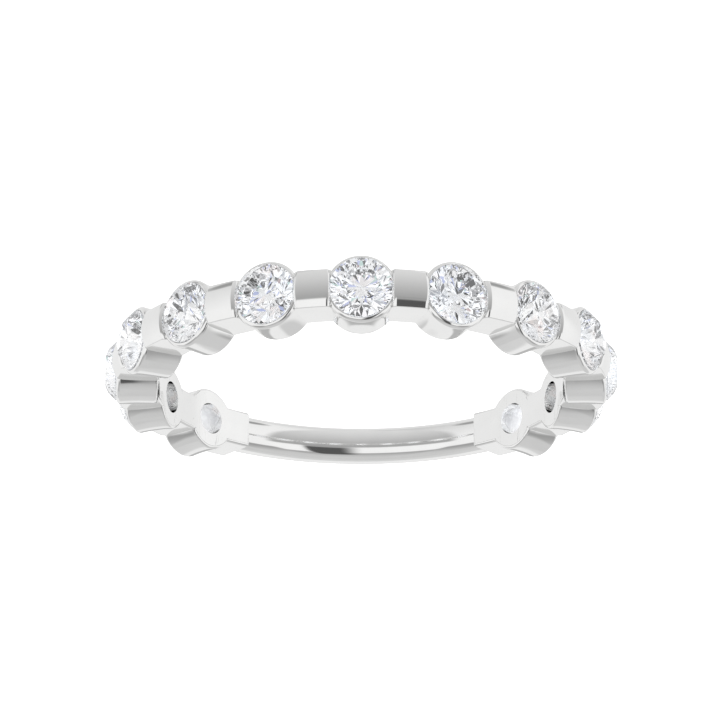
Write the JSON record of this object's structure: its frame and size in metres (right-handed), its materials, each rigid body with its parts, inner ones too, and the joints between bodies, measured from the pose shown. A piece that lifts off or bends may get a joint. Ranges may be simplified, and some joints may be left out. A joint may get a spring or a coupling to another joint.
{
  "type": "bar set band ring",
  "caption": "Finger ring: a band of round stones in round cups with crowned bars between them, closed by a plain comfort-fit shank.",
  "frame": {"origin": "centre of the finger hole, in the middle of the band's width", "axes": "+Z along the finger hole's axis, so the ring lies on its side; -Y towards the middle stone; +X to the right of it, seen from outside"},
  "size_m": [0.0218, 0.0208, 0.0028],
  "materials": {
    "polished_metal": "polished white gold",
    "clear_stone": "polished colourless cut stone"
  },
  "bodies": {
    "root": {"band": "polished_metal", "stone_01": "clear_stone", "stone_02": "clear_stone", "stone_03": "clear_stone", "stone_04": "clear_stone", "stone_05": "clear_stone", "stone_06": "clear_stone", "stone_07": "clear_stone", "stone_08": "clear_stone", "stone_09": "clear_stone", "stone_10": "clear_stone", "stone_11": "clear_stone", "stone_12": "clear_stone", "stone_13": "clear_stone"}
  },
  "joints": []
}
